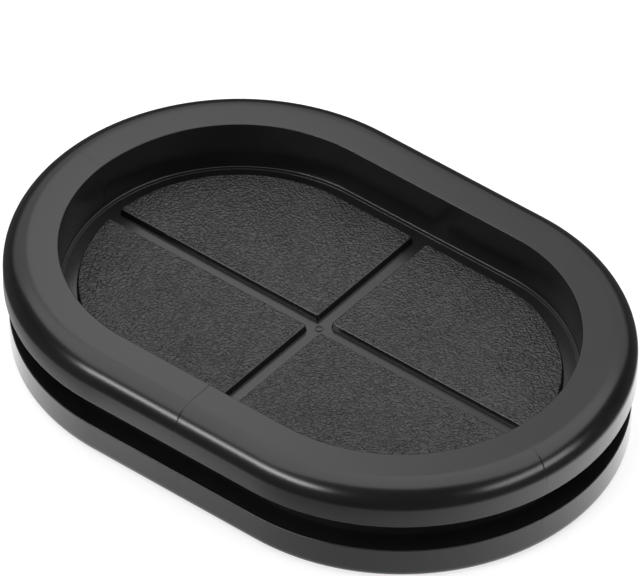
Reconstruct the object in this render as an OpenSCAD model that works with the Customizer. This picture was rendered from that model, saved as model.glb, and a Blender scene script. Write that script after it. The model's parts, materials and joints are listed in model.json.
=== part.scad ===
// Oval double-sided cable grommet with a closed diaphragm, in millimetres.
// The real article is one rubber moulding. It is drawn as the regions that do its different jobs:
// a sleeve, the flange round each of its ends, and a diaphragm whose crossed channels part it into four flaps.
// +X runs along the oval, +Z points out of the visible side, and the origin is under the middle of the base.

/* [Plan] */
// Half of the straight length of every oval outline
straight_half = 10; // [5:0.5:30]
// End radius of the upper flange
upper_radius = 22.75; // [22.5:0.25:26]
// End radius of the lower flange
lower_radius = 22.25; // [21.5:0.25:26]
// End radius of the sleeve, which is that of the panel cut-out
sleeve_radius = 20; // [19:0.25:20]
// End radius of the opening inside the sleeve
opening_radius = 17.35; // [16.8:0.05:18.5]

/* [Heights] */
// Thickness of the upper flange
upper_thickness = 4.45; // [3:0.05:6]
// Width of the groove that the panel sits in
groove_width = 3.5; // [2.5:0.1:5]
// Thickness of the lower flange
lower_thickness = 3.65; // [3:0.05:5]
// Radius of the upper flange's outer top edge
top_edge_radius = 2.45; // [0.4:0.05:2.5]
// Radius of the lower flange's outer bottom edge
bottom_edge_radius = 1.05; // [0.3:0.05:1.4]

/* [Diaphragm] */
// Depth of the grained pads below the top of the upper flange
recess_depth = 4.85; // [4.5:0.05:5.5]
// Thickness of the diaphragm's web
web_thickness = 1.2; // [0.8:0.1:1.6]
// Height that each grained pad stands above the web
pad_height = 0.65; // [0.2:0.05:0.8]
// Width of the smooth channel between the pads and the wall
rim_channel_width = 1.8; // [1:0.1:3]
// Width of the crossed channels between the pads
cross_channel_width = 1.7; // [1:0.05:3]
// Width of the slit where the diaphragm parts along the crossed channels
slit_width = 0.3; // [0.2:0.05:0.4]
// Width of the strip that bends when a flap opens
fold_width = 3; // [2.6:0.1:4]

/* [Hidden] */
$fn = 96;
QUADRANTS = [["rear_right", 1, 1], ["rear_left", -1, 1], ["front_left", -1, -1], ["front_right", 1, -1]];
REGIONS = ["shoulder_web", "shoulder_pad", "fold_strip", "flap_web", "flap_pad"];

groove_top = lower_thickness + groove_width;
total_height = groove_top + upper_thickness;
pad_top = total_height - recess_depth;
web_top = pad_top - pad_height;
web_bottom = web_top - web_thickness;
pad_radius = opening_radius - rim_channel_width;

// A flap folds along the line that joins the outer ends of its two slits.
fold_end_x = straight_half + opening_radius;
fold_end_y = opening_radius;
fold_angle = atan2(fold_end_x, fold_end_y);
fold_distance = fold_end_x * cos(fold_angle);
fold_inside = fold_distance - fold_width / 2;
fold_outside = fold_distance + fold_width / 2;
beyond = 2 * (straight_half + upper_radius);

smooth_colour = "#2b2b2d";
grained_colour = "#3a3a3c";

// Sweeps a section (x is the distance from the oval's middle line, y the height) once round the oval.
module swept_oval() {
    for (side = [0, 1]) {
        mirror([side, 0, 0]) translate([straight_half, 0, 0])
            rotate([0, 0, -90]) rotate_extrude(angle = 180) children();
        mirror([0, side, 0]) translate([-straight_half, 0, 0])
            rotate([90, 0, 90]) linear_extrude(2 * straight_half) children();
    }
}

// A flange's section, standing on y = 0, with its outer upper corner rounded.
module flange_section(outer, thickness, edge_radius) {
    reach = outer - sleeve_radius;
    translate([sleeve_radius, 0]) square([reach - edge_radius, thickness]);
    translate([sleeve_radius, 0]) square([reach, thickness - edge_radius]);
    translate([outer - edge_radius, thickness - edge_radius]) intersection() {
        circle(edge_radius);
        square(edge_radius);
    }
}

module sleeve() {
    color(smooth_colour)
        swept_oval() translate([opening_radius, 0]) square([sleeve_radius - opening_radius, total_height]);
}

module upper_flange() {
    color(smooth_colour) translate([0, 0, groove_top])
        swept_oval() flange_section(upper_radius, upper_thickness, top_edge_radius);
}

module lower_flange() {
    color(smooth_colour) translate([0, 0, lower_thickness]) mirror([0, 0, 1])
        swept_oval() flange_section(lower_radius, lower_thickness, bottom_edge_radius);
}

module oval(radius) {
    for (side = [-1, 1]) translate([side * straight_half, 0]) circle(radius);
    square([2 * straight_half, 2 * radius], center = true);
}

// The part of an oval in the +X +Y quarter that keeps a margin from both axes and whose distance from
// the middle, measured square to the fold line, is between near and far.
module quarter_plate(radius, margin, near, far, bottom, thickness) {
    translate([0, 0, bottom]) linear_extrude(thickness) intersection() {
        oval(radius);
        translate([margin, margin]) square(beyond);
        rotate(fold_angle) translate([near, -beyond]) square([far - near, 2 * beyond]);
    }
}

module web_plate(near, far) {
    quarter_plate(opening_radius, slit_width / 2, near, far, web_bottom, web_thickness);
}

module pad_plate(near, far) {
    quarter_plate(pad_radius, cross_channel_width / 2, near, far, web_top, pad_height);
}

module in_quarter(quarter) {
    mirror([(1 - quarter[1]) / 2, 0, 0]) mirror([0, (1 - quarter[2]) / 2, 0]) children();
}

module shoulder_web(quarter) {
    color(smooth_colour) in_quarter(quarter) web_plate(fold_outside, beyond);
}

module shoulder_pad(quarter) {
    color(grained_colour) in_quarter(quarter) pad_plate(fold_outside, beyond);
}

module fold_strip(quarter) {
    color(smooth_colour) in_quarter(quarter) {
        web_plate(fold_inside, fold_outside);
        pad_plate(fold_inside, fold_outside);
    }
}

module flap_web(quarter) {
    color(smooth_colour) in_quarter(quarter) web_plate(0, fold_inside);
}

module flap_pad(quarter) {
    color(grained_colour) in_quarter(quarter) pad_plate(0, fold_inside);
}

sleeve();
upper_flange();
lower_flange();
for (quarter = QUADRANTS) {
    shoulder_web(quarter);
    shoulder_pad(quarter);
    fold_strip(quarter);
    flap_web(quarter);
    flap_pad(quarter);
}
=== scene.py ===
import json
import math

import bmesh
import bpy
from mathutils import Matrix, Vector


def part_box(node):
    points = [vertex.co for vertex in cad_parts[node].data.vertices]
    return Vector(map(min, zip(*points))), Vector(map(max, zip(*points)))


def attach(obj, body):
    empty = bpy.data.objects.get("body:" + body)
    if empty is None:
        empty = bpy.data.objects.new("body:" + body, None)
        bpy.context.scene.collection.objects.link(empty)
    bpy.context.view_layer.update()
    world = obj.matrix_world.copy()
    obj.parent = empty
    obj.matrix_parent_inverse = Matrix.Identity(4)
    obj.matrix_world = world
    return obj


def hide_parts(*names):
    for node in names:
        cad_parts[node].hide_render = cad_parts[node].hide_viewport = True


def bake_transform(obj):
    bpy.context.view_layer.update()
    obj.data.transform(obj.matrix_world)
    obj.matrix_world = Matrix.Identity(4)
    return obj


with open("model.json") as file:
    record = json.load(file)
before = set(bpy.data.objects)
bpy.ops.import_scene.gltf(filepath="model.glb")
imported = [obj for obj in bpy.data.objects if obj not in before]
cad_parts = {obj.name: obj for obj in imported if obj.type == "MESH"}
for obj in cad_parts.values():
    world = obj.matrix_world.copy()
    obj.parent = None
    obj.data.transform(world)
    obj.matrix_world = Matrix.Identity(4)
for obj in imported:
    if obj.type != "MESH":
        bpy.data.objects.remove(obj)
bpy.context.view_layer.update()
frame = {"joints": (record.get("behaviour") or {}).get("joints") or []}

MM = 0.001

# ---- Sizes read from the frame --------------------------------------------------------------------
QUARTERS = {"rear_right": (1, 1), "rear_left": (-1, 1), "front_left": (-1, -1), "front_right": (1, -1)}

lower_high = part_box("lower_flange")[1]
upper_low, upper_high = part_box("upper_flange")
web_low, web_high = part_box("shoulder_web_rear_right")
pad_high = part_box("shoulder_pad_rear_right")[1]

STRAIGHT_HALF = upper_high.x - upper_high.y
UPPER_RADIUS = upper_high.y
LOWER_RADIUS = lower_high.y
SLEEVE_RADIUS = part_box("sleeve")[1].y
OPENING_RADIUS = web_high.y
PAD_RADIUS = pad_high.y
TOP = upper_high.z
GROOVE_TOP = upper_low.z
GROOVE_BOTTOM = lower_high.z
WEB_BOTTOM = web_low.z
WEB_TOP = web_high.z
PAD_TOP = pad_high.z
PAD_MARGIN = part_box("flap_pad_rear_right")[0].x

# ---- Finer shape than the frame holds -------------------------------------------------------------
TOP_EDGE = 2.45 * MM
BOTTOM_EDGE = 1.05 * MM
GROOVE_EDGE = 0.1 * MM
OPENING_EDGE = 0.12 * MM
ROOT_FILLET = 0.1 * MM
LEDGE_WIDTH = 0.42 * MM
LEDGE_HEIGHT = 0.1 * MM
LEDGE_EDGE = 0.06 * MM
PAD_EDGE = 0.14 * MM
PAD_DRAFT = 0.12 * MM
PAD_CORNER = 0.25 * MM
EMBED = 0.03 * MM
FLAT_TOLERANCE = EMBED / 10
SLIT = 0.001 * MM
FOLD_WIDTH = 3 * MM
FOLD_STEP = 0.2 * MM
SEAM_WIDTH = 0.12 * MM
SEAM_DEPTH = 0.028 * MM
SEAM_SHARES = (-1.4, -1, 0, 1, 1.4)
FRONT_SEAM = 0.7 * MM
RIGHT_SEAM_ANGLE = -14.4
LEFT_SEAM_ANGLE = 178.2
MARK_WIDTH = 0.16 * MM
GATE_RADIUS = 0.36 * MM
GATE_HEIGHT = 0.08 * MM
EJECTOR_HEIGHT = 0.02 * MM
EJECTOR_RADIUS = 1.3 * MM
EJECTOR_PLACE = (3.4 * MM, -4.1 * MM)
ARC_STEPS = 72
EDGE_STEPS = 6
SMALL_EDGE_STEPS = 4
TOP_EDGE_STEPS = 24
BOTTOM_EDGE_STEPS = 12
MARK_STEPS = 24
MERGE_DISTANCE = 1e-8


# ---- Materials ------------------------------------------------------------------------------------
MOTTLE_SIZE = 4 * MM
MOTTLE_DETAIL = 5
MOTTLE_LOW = 0.3
MOTTLE_HIGH = 0.7


def rubber(name, colour, roughness, spread, grain_size, grain_depth, grain_detail):
    """Black moulded rubber: slow mottling of colour and gloss over a fine surface grain."""
    material = bpy.data.materials.new(name)
    material.use_nodes = True
    nodes, links = material.node_tree.nodes, material.node_tree.links
    shader = nodes["Principled BSDF"]
    place = nodes.new("ShaderNodeTexCoord")

    mottle = nodes.new("ShaderNodeTexNoise")
    mottle.inputs["Scale"].default_value = 1 / MOTTLE_SIZE
    mottle.inputs["Detail"].default_value = MOTTLE_DETAIL
    links.new(place.outputs["Object"], mottle.inputs["Vector"])

    tint = nodes.new("ShaderNodeValToRGB")
    darkest, lightest = tint.color_ramp.elements
    darkest.position, lightest.position = MOTTLE_LOW, MOTTLE_HIGH
    darkest.color = (*[c * (1 - spread) for c in colour], 1)
    lightest.color = (*[c * (1 + spread) for c in colour], 1)
    links.new(mottle.outputs["Fac"], tint.inputs["Fac"])
    links.new(tint.outputs["Color"], shader.inputs["Base Color"])

    gloss = nodes.new("ShaderNodeMapRange")
    gloss.inputs["To Min"].default_value = roughness * (1 - spread / 3)
    gloss.inputs["To Max"].default_value = roughness * (1 + spread / 3)
    links.new(mottle.outputs["Fac"], gloss.inputs["Value"])
    links.new(gloss.outputs["Result"], shader.inputs["Roughness"])

    grain = nodes.new("ShaderNodeTexNoise")
    grain.inputs["Scale"].default_value = 1 / grain_size
    grain.inputs["Detail"].default_value = grain_detail
    links.new(place.outputs["Object"], grain.inputs["Vector"])
    relief = nodes.new("ShaderNodeBump")
    relief.inputs["Strength"].default_value = 1
    relief.inputs["Distance"].default_value = grain_depth
    links.new(grain.outputs["Fac"], relief.inputs["Height"])
    links.new(relief.outputs["Normal"], shader.inputs["Normal"])
    return material


smooth_rubber = rubber(
    "smooth_rubber",
    colour=(0.0062, 0.0062, 0.0065),
    roughness=0.25,
    spread=0.15,
    grain_size=0.35 * MM,
    grain_depth=0.0006 * MM,
    grain_detail=3,
)
grained_rubber = rubber(
    "grained_rubber",
    colour=(0.019, 0.019, 0.0195),
    roughness=0.33,
    spread=0.25,
    grain_size=0.19 * MM,
    grain_depth=0.24 * MM,
    grain_detail=0.3,
)


# ---- Mesh tools -----------------------------------------------------------------------------------
SHARP_ANGLE = math.radians(35)


def make_piece(name, mesh_builder, materials):
    mesh = bpy.data.meshes.new(name)
    bmesh.ops.recalc_face_normals(mesh_builder, faces=mesh_builder.faces)
    for face in mesh_builder.faces:
        face.smooth = True
    for edge in mesh_builder.edges:
        edge.smooth = edge.calc_face_angle(0) < SHARP_ANGLE
    mesh_builder.to_mesh(mesh)
    mesh_builder.free()
    for material in materials:
        mesh.materials.append(material)
    piece = bpy.data.objects.new(name, mesh)
    bpy.context.scene.collection.objects.link(piece)
    normals = piece.modifiers.new("flat faces stay flat", "WEIGHTED_NORMAL")
    normals.keep_sharp = True
    return piece


def arc(centre, radius, start, end, steps=EDGE_STEPS):
    """Points round an arc, in a plane, from one angle in degrees to another."""
    angles = [math.radians(start + (end - start) * i / steps) for i in range(steps + 1)]
    return [(centre[0] + radius * math.cos(a), centre[1] + radius * math.sin(a)) for a in angles]


def distance_round(side, degrees):
    """Distance round the oval from the middle of its front to an angle on its right or left end."""
    if side > 0:
        return STRAIGHT_HALF + UPPER_RADIUS * math.radians(degrees + 90)
    return 3 * STRAIGHT_HALF + UPPER_RADIUS * math.radians(degrees + 90)


SEAMS = (FRONT_SEAM, distance_round(1, RIGHT_SEAM_ANGLE), distance_round(-1, LEFT_SEAM_ANGLE))


def oval_stations():
    """Places round the oval as (distance round, share of a parting line's full depth there)."""
    stations = []
    for side, first in ((1, -90), (-1, 90)):
        for i in range(ARC_STEPS + 1):
            stations.append((distance_round(side, first + 180 * i / ARC_STEPS), 0))
    for seam in SEAMS:
        for share in SEAM_SHARES:
            stations.append((seam + share * SEAM_WIDTH / 2, max(0, 1 - abs(share))))
    return sorted(stations)


def place_round(distance, radius):
    """The plan position at a distance round the oval, on the offset curve of the given radius."""
    half_turn = UPPER_RADIUS * math.pi
    if distance < STRAIGHT_HALF:
        return distance, -radius
    if distance < STRAIGHT_HALF + half_turn:
        angle = (distance - STRAIGHT_HALF) / UPPER_RADIUS - math.pi / 2
        return STRAIGHT_HALF + radius * math.cos(angle), radius * math.sin(angle)
    if distance < 3 * STRAIGHT_HALF + half_turn:
        return 2 * STRAIGHT_HALF + half_turn - distance, radius
    if distance < 3 * STRAIGHT_HALF + 2 * half_turn:
        angle = (distance - 3 * STRAIGHT_HALF) / UPPER_RADIUS - math.pi / 2
        return -STRAIGHT_HALF + radius * math.cos(angle), radius * math.sin(angle)
    return distance - 4 * STRAIGHT_HALF - 2 * half_turn, -radius


def oval_ring(name, section):
    """Sweeps a closed section, given as (distance from the middle line, height), once round the oval."""
    count = len(section)
    outward = []
    for i in range(count):
        (r0, z0), (r1, z1) = section[i - 1], section[(i + 1) % count]
        tangent = Vector((r1 - r0, z1 - z0)).normalized()
        outward.append(Vector((tangent.y, -tangent.x)))
    builder = bmesh.new()
    rings = []
    for distance, depth in oval_stations():
        ring = []
        for (r, z), normal in zip(section, outward):
            x, y = place_round(distance, r - depth * SEAM_DEPTH * normal.x)
            ring.append(builder.verts.new((x, y, z - depth * SEAM_DEPTH * normal.y)))
        rings.append(ring)
    for here, there in zip(rings, rings[1:] + rings[:1]):
        for i in range(count):
            j = (i + 1) % count
            builder.faces.new((here[i], there[i], there[j], here[j]))
    bmesh.ops.remove_doubles(builder, verts=builder.verts, dist=MERGE_DISTANCE)
    return make_piece(name, builder, [smooth_rubber])


# ---- The ring: sleeve and flanges -----------------------------------------------------------------
def build_upper_flange():
    section = [(SLEEVE_RADIUS, GROOVE_TOP)]
    groove_edge = (UPPER_RADIUS - GROOVE_EDGE, GROOVE_TOP + GROOVE_EDGE)
    section += arc(groove_edge, GROOVE_EDGE, -90, 0, SMALL_EDGE_STEPS)
    section += arc((UPPER_RADIUS - TOP_EDGE, TOP - TOP_EDGE), TOP_EDGE, 0, 90, TOP_EDGE_STEPS)
    section += [(SLEEVE_RADIUS, TOP)]
    return oval_ring("upper_rim", section)


def build_lower_flange():
    section = [(SLEEVE_RADIUS, 0)]
    section += arc((LOWER_RADIUS - BOTTOM_EDGE, BOTTOM_EDGE), BOTTOM_EDGE, -90, 0, BOTTOM_EDGE_STEPS)
    groove_edge = (LOWER_RADIUS - GROOVE_EDGE, GROOVE_BOTTOM - GROOVE_EDGE)
    section += arc(groove_edge, GROOVE_EDGE, 0, 90, SMALL_EDGE_STEPS)
    section += [(SLEEVE_RADIUS, GROOVE_BOTTOM)]
    return oval_ring("lower_rim", section)


def build_sleeve():
    """The wall, with the diaphragm's root: a fillet and a low ledge above, and a fillet below."""
    wall = OPENING_RADIUS
    root = wall - LEDGE_WIDTH
    fillet = wall - ROOT_FILLET
    ledge = WEB_TOP + LEDGE_HEIGHT
    section = [(SLEEVE_RADIUS, z) for z in (0, GROOVE_BOTTOM, GROOVE_TOP, TOP)]
    section += arc((wall + OPENING_EDGE, TOP - OPENING_EDGE), OPENING_EDGE, 90, 180, SMALL_EDGE_STEPS)
    section += arc((fillet, ledge + ROOT_FILLET), ROOT_FILLET, 0, -90)
    section += arc((root + LEDGE_EDGE, ledge - LEDGE_EDGE), LEDGE_EDGE, 90, 180)
    section += [(root, WEB_BOTTOM)]
    section += arc((fillet, WEB_BOTTOM - ROOT_FILLET), ROOT_FILLET, 90, 0)
    section += arc((wall + OPENING_EDGE, OPENING_EDGE), OPENING_EDGE, 180, 270, SMALL_EDGE_STEPS)
    return oval_ring("inner_wall", section)


RING_BUILDERS = {
    "upper_flange": build_upper_flange,
    "lower_flange": build_lower_flange,
    "sleeve": build_sleeve,
}
for node, build in RING_BUILDERS.items():
    piece = build()
    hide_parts(node)
    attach(piece, "ring")


# ---- The diaphragm's quarters ---------------------------------------------------------------------
def fold_of(name):
    """(point on the fold line, direction towards the middle) of a flap's joint."""
    joint = next(j for j in frame["joints"] if j["child"] == "flap_" + name)
    inwards = Vector(joint["axis"]).cross(Vector((0, 0, 1))).normalized()
    point = Vector(joint["pos_m"])
    return point, inwards if inwards.dot(point) < 0 else -inwards


def cut_along_fold(builder, point, inwards):
    """Cuts lines parallel to the fold across the strip that bends, so that it can curve."""
    steps = round(FOLD_WIDTH / FOLD_STEP)
    for i in range(steps + 1):
        at = point + inwards * (i / steps - 0.5) * FOLD_WIDTH
        geometry = builder.verts[:] + builder.edges[:] + builder.faces[:]
        bmesh.ops.bisect_plane(builder, geom=geometry, plane_co=at, plane_no=inwards, dist=MERGE_DISTANCE)


def web_outline():
    """The quarter's plan, from the middle along +X, round the end and back along the straight side."""
    radius = OPENING_RADIUS - LEDGE_WIDTH
    return [(SLIT, SLIT)] + arc((STRAIGHT_HALF, 0), radius, 0, 90, ARC_STEPS // 2) + [(SLIT, radius)]


def pad_outline(spread):
    """The pad's plan with rounded corners, moved outwards by spread."""
    radius, margin, corner = PAD_RADIUS + spread, PAD_MARGIN - spread, PAD_CORNER + spread
    inner = margin + corner
    end_x = STRAIGHT_HALF + math.sqrt((radius - corner) ** 2 - inner**2)
    meet = math.degrees(math.atan2(inner, end_x - STRAIGHT_HALF))
    return (
        arc((inner, inner), corner, 180, 270)
        + arc((end_x, inner), corner, -90, meet)
        + arc((STRAIGHT_HALF, 0), radius, meet, 90, ARC_STEPS // 2)[1:]
        + arc((inner, radius - corner), corner, 90, 180)
    )


def stack(builder, loops):
    """Joins closed loops of points, each (x, y, z), into a closed solid."""
    rows = [[builder.verts.new(p) for p in loop] for loop in loops]
    for low, high in zip(rows, rows[1:]):
        for i in range(len(low)):
            j = (i + 1) % len(low)
            builder.faces.new((low[i], low[j], high[j], high[i]))
    builder.faces.new(list(reversed(rows[0])))
    builder.faces.new(rows[-1])


def place_in_quarter(builder, name):
    side_x, side_y = QUARTERS[name]
    bmesh.ops.scale(builder, vec=(side_x, side_y, 1), verts=builder.verts)
    cut_along_fold(builder, *fold_of(name))


def bend_with_flap(piece):
    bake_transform(piece)


def build_web(name):
    builder = bmesh.new()
    plan = web_outline()
    stack(builder, [[(x, y, z) for x, y in plan] for z in (WEB_BOTTOM, WEB_TOP)])
    place_in_quarter(builder, name)
    return make_piece("web_" + name, builder, [smooth_rubber])


def build_pad(name):
    builder = bmesh.new()
    profile = [(PAD_DRAFT, WEB_TOP - EMBED)] + arc((-PAD_EDGE, PAD_TOP - PAD_EDGE), PAD_EDGE, 0, 90)
    stack(builder, [[(x, y, z) for x, y in pad_outline(spread)] for spread, z in profile])
    place_in_quarter(builder, name)
    for face in builder.faces:
        face.material_index = 0 if face.calc_center_median().z > PAD_TOP - FLAT_TOLERANCE else 1
    return make_piece("pad_" + name, builder, [grained_rubber, smooth_rubber])


for name in QUARTERS:
    web = build_web(name)
    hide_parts(*[f"{part}_{name}" for part in ("shoulder_web", "fold_strip", "flap_web")])
    bend_with_flap(web)
    pad = build_pad(name)
    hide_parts(*[f"{part}_{name}" for part in ("shoulder_pad", "flap_pad")])
    bend_with_flap(pad)


def build_mark(name, centre, base, radius, height, start, end, body, slot, material):
    """A low raised ring, or part of one, that moulding leaves on a face at the height of base."""
    half = MARK_WIDTH / 2
    section = [(-half, -EMBED), (-half / 2, height), (half / 2, height), (half, -EMBED)]
    builder = bmesh.new()
    rows = []
    for x, y in arc((0, 0), 1, start, end, MARK_STEPS):
        row = []
        for out, up in section:
            point = (centre[0] + x * (radius + out), centre[1] + y * (radius + out), base + up)
            row.append(builder.verts.new(point))
        rows.append(row)
    for here, there in zip(rows, rows[1:]):
        for i in range(len(section)):
            j = (i + 1) % len(section)
            builder.faces.new((here[i], here[j], there[j], there[i]))
    if end - start < 360:
        builder.faces.new(rows[0])
        builder.faces.new(rows[-1])
    bmesh.ops.remove_doubles(builder, verts=builder.verts, dist=MERGE_DISTANCE)
    mark = make_piece(name, builder, [material])
    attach(mark, body)


for i, name in enumerate(QUARTERS):
    place = ((0, 0), WEB_TOP, GATE_RADIUS, GATE_HEIGHT, 90 * i, 90 * i + 90)
    build_mark("gate_mark_" + name, *place, "flap_" + name, "smooth_rubber", smooth_rubber)
place = (EJECTOR_PLACE, PAD_TOP, EJECTOR_RADIUS, EJECTOR_HEIGHT, 0, 360)
build_mark("ejector_mark", *place, "flap_front_right", "grained_rubber", grained_rubber)


# ---- Stage, light and camera ----------------------------------------------------------------------
STAGE_RADIUS = 3
STAGE_STEPS = 96
CUTOUT_MARGIN = 1.5 * MM
FLOOR_HEIGHT = -0.05 * MM
FLOOR_GREY = 0.45
FLOOR_ROUGHNESS = 0.9
FLOOR_GLOW = 0.65
BELOW_CUTOUT_HEIGHT = -60 * MM
BELOW_CUTOUT_SIZE = 0.5

# Painted reflection card: a glowing sheet just above the floor that the camera doesn't see. Its glow
# paints the shade and light mirrored in the glossy sides.
PAINTED_REFLECTION_HEIGHT = -0.04 * MM
PAINTED_REFLECTION_FRONT_GLOW = 0.8
PAINTED_REFLECTION_SIDE_GLOW = 2.1
PAINTED_REFLECTION_SIDE_DISTANCE = 32 * MM
PAINTED_REFLECTION_MOVED_RIGHT = 3.5 * MM
PAINTED_REFLECTION_MOVED_FRONT = 5 * MM
PAINTED_REFLECTION_GLOW_MARGIN = 4 * MM
PAINTED_REFLECTION_DARK_MARGIN = 9.5 * MM
PAINTED_REFLECTION_DARK_SHARE = 0.05

CAMERA_AZIMUTH = 38.783
CAMERA_ELEVATION = 41.956
CAMERA_ROLL = 0.066
CAMERA_DISTANCE = 993.9 * MM
CAMERA_SHIFT_RIGHT = 0.09 * MM
CAMERA_SHIFT_UP = 8.47 * MM
CAMERA_SENSOR = 36
CAMERA_LENS = 578.5
CAMERA_CLIP = (0.05, 20)

WORLD_STRENGTH = 0.06
BACK_SPOT_AIM = Vector((-2, -25, 0)) * MM


def towards(azimuth, elevation):
    """Unit vector to a place round the object. Azimuth 0 is the -Y side and 90 is the +X side."""
    a, e = math.radians(azimuth), math.radians(elevation)
    return Vector((math.sin(a) * math.cos(e), -math.cos(a) * math.cos(e), math.sin(e)))


def softbox(name, azimuth, elevation, distance, width, height, radiance, aim=Vector()):
    """A rectangular light that faces the object, or the given point on it."""
    light = bpy.data.lights.new(name, "AREA")
    light.shape = "RECTANGLE"
    light.size, light.size_y = width, height
    light.energy = radiance * math.pi * width * height
    lamp = bpy.data.objects.new(name, light)
    bpy.context.scene.collection.objects.link(lamp)
    direction = towards(azimuth, elevation)
    lamp.location = aim + direction * distance
    lamp.rotation_mode = "QUATERNION"
    lamp.rotation_quaternion = direction.to_track_quat("Z", "Y")


def staged_surface(name, height, material):
    """A wide level surface of the stage, with a cut-out under the opening for the flaps."""
    turn = 4 * STRAIGHT_HALF + 2 * math.pi * UPPER_RADIUS
    builder = bmesh.new()
    loops = []
    for radius in (OPENING_RADIUS + CUTOUT_MARGIN, STAGE_RADIUS):
        places = [place_round(turn * i / STAGE_STEPS, radius) for i in range(STAGE_STEPS)]
        loops.append([builder.verts.new((x, y, 0)) for x, y in places])
    inner, outer = loops
    for i in range(STAGE_STEPS):
        j = (i + 1) % STAGE_STEPS
        builder.faces.new((inner[i], outer[i], outer[j], inner[j]))
    return stage_mesh(name, builder, height, material)


def stage_mesh(name, builder, height, material):
    mesh = bpy.data.meshes.new(name)
    builder.to_mesh(mesh)
    builder.free()
    mesh.materials.append(material)
    surface = bpy.data.objects.new(name, mesh)
    surface.location.z = height
    bpy.context.scene.collection.objects.link(surface)
    return surface


def build_floor():
    material = bpy.data.materials.new("floor")
    material.use_nodes = True
    shader = material.node_tree.nodes["Principled BSDF"]
    shader.inputs["Base Color"].default_value = (FLOOR_GREY, FLOOR_GREY, FLOOR_GREY, 1)
    shader.inputs["Roughness"].default_value = FLOOR_ROUGHNESS
    shader.inputs["Emission Color"].default_value = (1, 1, 1, 1)
    shader.inputs["Emission Strength"].default_value = FLOOR_GLOW
    staged_surface("floor", FLOOR_HEIGHT, material)
    below = bmesh.new()
    bmesh.ops.create_grid(below, x_segments=1, y_segments=1, size=BELOW_CUTOUT_SIZE)
    stage_mesh("below_cutout", below, BELOW_CUTOUT_HEIGHT, material)


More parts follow.
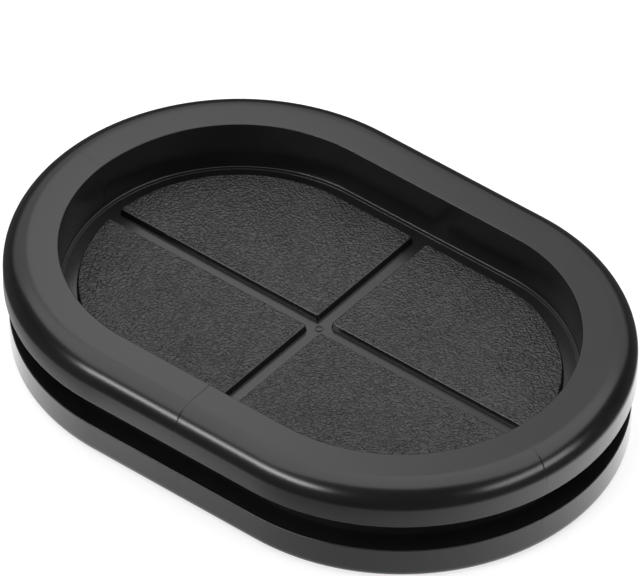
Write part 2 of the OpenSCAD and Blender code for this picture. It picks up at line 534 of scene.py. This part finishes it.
def build_painted_reflection_card():
    """Painted reflection: a glowing card round the foot that only the glossy sides mirror. It is dimmest
    in front, as painted shade of the ring on the floor, brighter to the sides as painted light, and
    painted dark beyond it.
    """
    material = bpy.data.materials.new("painted_reflection_card")
    material.use_nodes = True
    nodes, links = material.node_tree.nodes, material.node_tree.links
    nodes.remove(nodes["Principled BSDF"])
    place = nodes.new("ShaderNodeTexCoord")
    rightwards = towards(CAMERA_AZIMUTH + 90, 0)
    forwards = towards(CAMERA_AZIMUTH, 0)

    sideways = nodes.new("ShaderNodeVectorMath")
    sideways.operation = "DOT_PRODUCT"
    sideways.inputs[1].default_value = rightwards / PAINTED_REFLECTION_SIDE_DISTANCE
    links.new(place.outputs["Object"], sideways.inputs[0])
    square = nodes.new("ShaderNodeMath")
    square.operation = "POWER"
    square.inputs[1].default_value = 2
    absolute = nodes.new("ShaderNodeMath")
    absolute.operation = "ABSOLUTE"
    links.new(sideways.outputs["Value"], absolute.inputs[0])
    links.new(absolute.outputs["Value"], square.inputs[0])
    # Glow rises from the camera's line to the sides: painted shade in front, painted light towards the
    # ends.
    sides = nodes.new("ShaderNodeMapRange")
    sides.inputs["To Min"].default_value = PAINTED_REFLECTION_FRONT_GLOW
    sides.inputs["To Max"].default_value = PAINTED_REFLECTION_SIDE_GLOW
    links.new(square.outputs["Value"], sides.inputs["Value"])

    moved = nodes.new("ShaderNodeVectorMath")
    moved.operation = "SUBTRACT"
    offset = rightwards * PAINTED_REFLECTION_MOVED_RIGHT + forwards * PAINTED_REFLECTION_MOVED_FRONT
    moved.inputs[1].default_value = offset
    links.new(place.outputs["Object"], moved.inputs[0])
    beside = nodes.new("ShaderNodeVectorMath")
    beside.operation = "ABSOLUTE"
    links.new(moved.outputs["Vector"], beside.inputs[0])
    past_straight = nodes.new("ShaderNodeVectorMath")
    past_straight.operation = "SUBTRACT"
    past_straight.inputs[1].default_value = (STRAIGHT_HALF, 0, 0)
    links.new(beside.outputs["Vector"], past_straight.inputs[0])
    outside = nodes.new("ShaderNodeVectorMath")
    outside.operation = "MAXIMUM"
    links.new(past_straight.outputs["Vector"], outside.inputs[0])
    distance = nodes.new("ShaderNodeVectorMath")
    distance.operation = "LENGTH"
    links.new(outside.outputs["Vector"], distance.inputs[0])
    # Glow fades to painted dark a few millimetres beyond the rim.
    reach = nodes.new("ShaderNodeMapRange")
    reach.inputs["From Min"].default_value = UPPER_RADIUS + PAINTED_REFLECTION_GLOW_MARGIN
    reach.inputs["From Max"].default_value = UPPER_RADIUS + PAINTED_REFLECTION_DARK_MARGIN
    reach.inputs["To Min"].default_value = 1
    reach.inputs["To Max"].default_value = PAINTED_REFLECTION_DARK_SHARE
    links.new(distance.outputs["Value"], reach.inputs["Value"])

    glow = nodes.new("ShaderNodeMath")
    glow.operation = "MULTIPLY"
    links.new(sides.outputs["Result"], glow.inputs[0])
    links.new(reach.outputs["Result"], glow.inputs[1])
    emission = nodes.new("ShaderNodeEmission")
    links.new(glow.outputs["Value"], emission.inputs["Strength"])
    links.new(emission.outputs["Emission"], nodes["Material Output"].inputs["Surface"])
    card = staged_surface("painted_reflection_card", PAINTED_REFLECTION_HEIGHT, material)
    # Seen only in reflections: hidden from the camera, from diffuse bounces and from shadows.
    card.visible_camera = False
    card.visible_diffuse = False
    card.visible_shadow = False


def build_camera():
    roll = math.radians(CAMERA_ROLL)
    back = towards(CAMERA_AZIMUTH, CAMERA_ELEVATION)
    level = (-back).cross(Vector((0, 0, 1))).normalized()
    upright = level.cross(-back)
    right = level * math.cos(roll) + upright * math.sin(roll)
    up = upright * math.cos(roll) - level * math.sin(roll)
    data = bpy.data.cameras.new("camera")
    data.sensor_width = CAMERA_SENSOR
    data.lens = CAMERA_LENS
    data.clip_start, data.clip_end = CAMERA_CLIP
    camera = bpy.data.objects.new("camera", data)
    place = back * CAMERA_DISTANCE + right * CAMERA_SHIFT_RIGHT + up * CAMERA_SHIFT_UP
    turn = Matrix((right, up, back)).transposed().to_4x4()
    camera.matrix_world = Matrix.Translation(place) @ turn
    bpy.context.scene.collection.objects.link(camera)
    bpy.context.scene.camera = camera


def build_light():
    world = bpy.data.worlds.new("studio")
    world.use_nodes = True
    world.node_tree.nodes["Background"].inputs["Color"].default_value = (1, 1, 1, 1)
    world.node_tree.nodes["Background"].inputs["Strength"].default_value = WORLD_STRENGTH
    bpy.context.scene.world = world
    softbox(
        "overhead",
        azimuth=219,
        elevation=82,
        distance=1.2,
        width=2.8,
        height=1.5,
        radiance=1.9,
    )
    softbox(
        "back_panel",
        azimuth=219,
        elevation=35,
        distance=1.5,
        width=3.2,
        height=0.9,
        radiance=0.82,
    )
    softbox(
        "back_spot",
        azimuth=219,
        elevation=42,
        distance=0.25,
        width=0.05,
        height=0.05,
        radiance=1.5,
        aim=BACK_SPOT_AIM,
    )
    softbox(
        "left_strip",
        azimuth=-16,
        elevation=22.8,
        distance=1.0,
        width=0.64,
        height=0.19,
        radiance=14,
    )
    softbox(
        "right_strip",
        azimuth=98,
        elevation=18,
        distance=1.0,
        width=0.75,
        height=0.3,
        radiance=5,
    )


build_floor()
build_painted_reflection_card()
build_light()
build_camera()
bpy.context.scene.view_settings.view_transform = "Standard"
